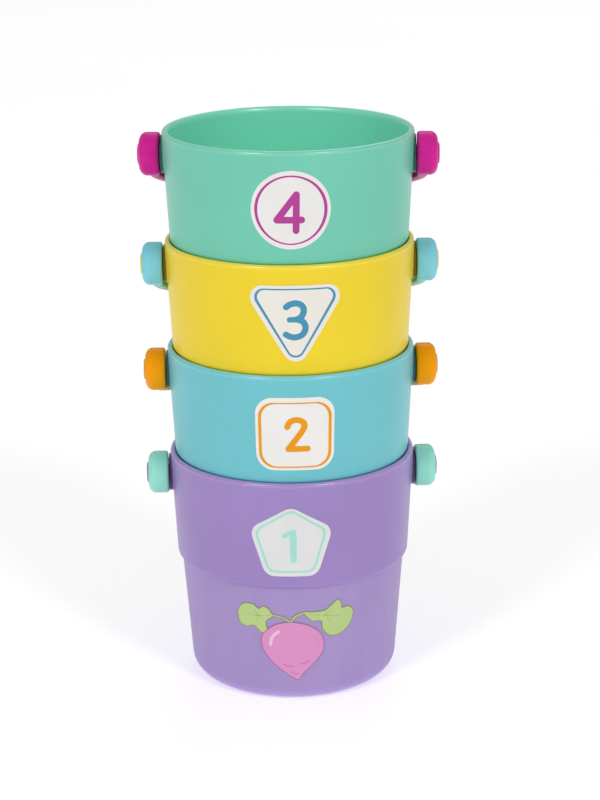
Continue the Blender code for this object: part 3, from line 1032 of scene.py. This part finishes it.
def make_picture(name, plant, spot):
    """A die-cut plant: leaves and root, each a print inside a darker outline, and finer
    prints on top."""
    root, leaves = plant["root"], plant["leaves"]
    green, flesh = plant["leaf_colour"], plant["root_colour"]
    fine = PRINT_STEP / 2
    inks = {
        "film": (union(root, leaves), PICTURE_STEP, FILM, toned(green, LEAF_EDGE_TONE)),
        "leaf": (grown(leaves, -LINE_INSET), PICTURE_STEP, PRINT, green),
        "veins": (plant["veins"], PICTURE_STEP, SECOND_PRINT, toned(green, VEIN_TONE)),
        "root_edge": (root, PICTURE_STEP, SECOND_PRINT, toned(flesh, ROOT_EDGE_TONE)),
        "root": (grown(root, -LINE_INSET), PICTURE_STEP, THIRD_PRINT, flesh),
        "rings": (plant["rings"], fine, FOURTH_PRINT, toned(flesh, RING_TONE)),
        "shine": (plant["shine"], fine, FOURTH_PRINT, toned(flesh, SHINE_TONE)),
    }
    made = []
    for word, (shape, step, layer, colour) in inks.items():
        ink = printed_film(f"{name}_{word}_ink", colour)
        piece = f"{name}_picture_{word}"
        made.append(sheet(piece, shape, plant["box"], step, layer, spot, ink))
    return made


# ---------------------------------------------------------------- assembly


def settle(pieces, placing, body):
    """Puts pieces in place, on their body."""
    for made in pieces:
        made.data.transform(placing)
        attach(made, body)


def hinge_of(body):
    """The frame's hinge that carries a body."""
    return next(joint for joint in frame["joints"] if joint["child"] == body)


def make_cup(number):
    """One pail of the tower, with its caps, handle and labels."""
    name = CUP_NAMES[number]
    hinge = hinge_of(name + "_handle")
    turn = math.atan2(hinge["axis"][1], hinge["axis"][0])
    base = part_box(name + "_shell")[0].z
    upright = Matrix.Translation((0, 0, base)) @ Matrix.Rotation(turn, 4, "Z")
    pivot = Matrix.Translation(hinge["pos_m"]) @ Matrix.Rotation(turn, 4, "Z")

    shoulder = base + LOWER_TOP_HEIGHT * MM
    cup_plastic = moulded_plastic(name + "_plastic", CUP_COLOURS[number], matte_below=shoulder)
    pail = make_pail(name, cup_plastic)
    settle([pail], upright, name)
    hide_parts(name + "_shell")
    handle_plastic = moulded_plastic(name + "_bail_plastic", HANDLE_COLOURS[number], sheen=0.1)
    cap_plastic = cup_plastic if CAP_SLOTS[number] == CUP_SLOTS[number] else handle_plastic
    for word, side in (("left", -1), ("right", 1)):
        cap = make_cap(name, word, side, cap_plastic)
        settle([cap], upright, name)
        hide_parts(f"{name}_pivot_cap_{word}")

    handle = make_handle(name, handle_plastic)
    hang = Matrix.Rotation(-HANGS[number], 4, "X")
    settle([handle], pivot @ hang, name + "_handle")
    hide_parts(name + "_handle")

    paper = printed_film(name + "_paper", PAPER_COLOURS[number])
    ink = printed_film(name + "_ink", NUMBER_COLOURS[number])
    design = (pentagon_label, square_label, triangle_label, disc_label)[number]()
    spot = (NUMBER_HEIGHTS[number], NUMBER_TURNS[number])
    labels = make_number(name, design, spot, paper, ink)
    settle(labels, upright, name)
    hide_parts(name + "_number_label")

    plant = (radish, carrot, plum, beet)[number]()
    spot = (PICTURE_CROWN_HEIGHT, PICTURE_TURNS[number])
    picture = make_picture(name, plant, spot)
    settle(picture, upright, name)
    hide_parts(name + "_picture_label")


# ---------------------------------------------------------------- stage

# Camera: its place in metres, its angles in radians, its lens and film in millimetres
CAMERA_PLACE = Vector((0.00538, -0.88135, 0.39205))
CAMERA_DIP = 0.3041
CAMERA_SWING = -0.0020
CAMERA_ROLL = -0.0105
FOCAL_LENGTH = 101.4
SENSOR = 36.0

# Lamps: place and size in metres, power in watts
LAMPS = {
    "left_front_softbox": ((-1.54, -2.2, 2.2), (0.6, 0.8), 22.5),
    "right_front_softbox": ((1.54, -2.2, 2.2), (0.6, 0.8), 22.5),
    "back_softbox": ((0.3, 2.6, 2.4), (1.6, 1.0), 13.0),
}
WORLD_STRENGTH = 0.45
FLOOR_REACH = 6.0
FLOOR_SIDES = 64
FLOOR_ROUGHNESS = 0.9
FLOOR_SHEEN = 0.1
FLOOR_GLOW = 0.38


def make_camera():
    """The camera at the photograph's place, dipped, swung to the side and rolled."""
    dip, swing, roll = CAMERA_DIP, CAMERA_SWING, CAMERA_ROLL
    level_reach = math.cos(dip)
    ahead = Vector((math.sin(swing) * level_reach, math.cos(swing) * level_reach, -math.sin(dip)))
    level = ahead.cross(Vector((0, 0, 1))).normalized()
    above = level.cross(ahead)
    right = level * math.cos(roll) + above * math.sin(roll)
    up = above * math.cos(roll) - level * math.sin(roll)
    data = bpy.data.cameras.new("camera")
    data.lens = FOCAL_LENGTH
    data.sensor_width = SENSOR
    camera = bpy.data.objects.new("camera", data)
    turn = Matrix((right, up, -ahead)).transposed().to_4x4()
    camera.matrix_world = Matrix.Translation(CAMERA_PLACE) @ turn
    bpy.context.scene.collection.objects.link(camera)
    bpy.context.scene.camera = camera


def make_light(name, place, size, power):
    """A softbox that faces the middle of the tower."""
    data = bpy.data.lights.new(name, "AREA")
    data.shape = "RECTANGLE"
    data.size = size[0]
    data.size_y = size[1]
    data.energy = power
    light = bpy.data.objects.new(name, data)
    light.location = place
    aim = (cad_low + cad_high) / 2 - Vector(place)
    light.rotation_euler = aim.to_track_quat("-Z", "Y").to_euler()
    bpy.context.scene.collection.objects.link(light)


def make_stage():
    world = bpy.data.worlds.new("studio")
    world.use_nodes = True
    sky = world.node_tree.nodes["Background"]
    sky.inputs["Color"].default_value = WHITE
    sky.inputs["Strength"].default_value = WORLD_STRENGTH
    bpy.context.scene.world = world
    bpy.context.scene.view_settings.view_transform = "Standard"
    for name, (place, size, power) in LAMPS.items():
        make_light(name, place, size, power)
    make_floor()


def make_floor():
    """A pale disc under the tower, with faint clouds and a slight glow of its own."""
    nodes = Nodes("pale_floor")
    tone = nodes.spread(nodes.noise(nodes.place((1, 1, 1)), 3, 2), 0, 1)
    colour = nodes.blend(tone, (0.89, 0.89, 0.89, 1), (0.91, 0.91, 0.91, 1))
    nodes.wire(colour, nodes.shader.inputs["Base Color"])
    nodes.shader.inputs["Roughness"].default_value = FLOOR_ROUGHNESS
    nodes.shader.inputs["Specular IOR Level"].default_value = FLOOR_SHEEN
    nodes.shader.inputs["Emission Color"].default_value = WHITE
    nodes.shader.inputs["Emission Strength"].default_value = FLOOR_GLOW
    rim = []
    for angle in even_angles(FLOOR_SIDES):
        rim.append((FLOOR_REACH * math.cos(angle), FLOOR_REACH * math.sin(angle), 0))
    mesh = bpy.data.meshes.new("floor")
    mesh.from_pydata(rim, [], [tuple(range(FLOOR_SIDES))])
    mesh.materials.append(nodes.material)
    floor = bpy.data.objects.new("floor", mesh)
    bpy.context.scene.collection.objects.link(floor)


for cup in range(len(CUP_NAMES)):
    make_cup(cup)
make_camera()
make_stage()
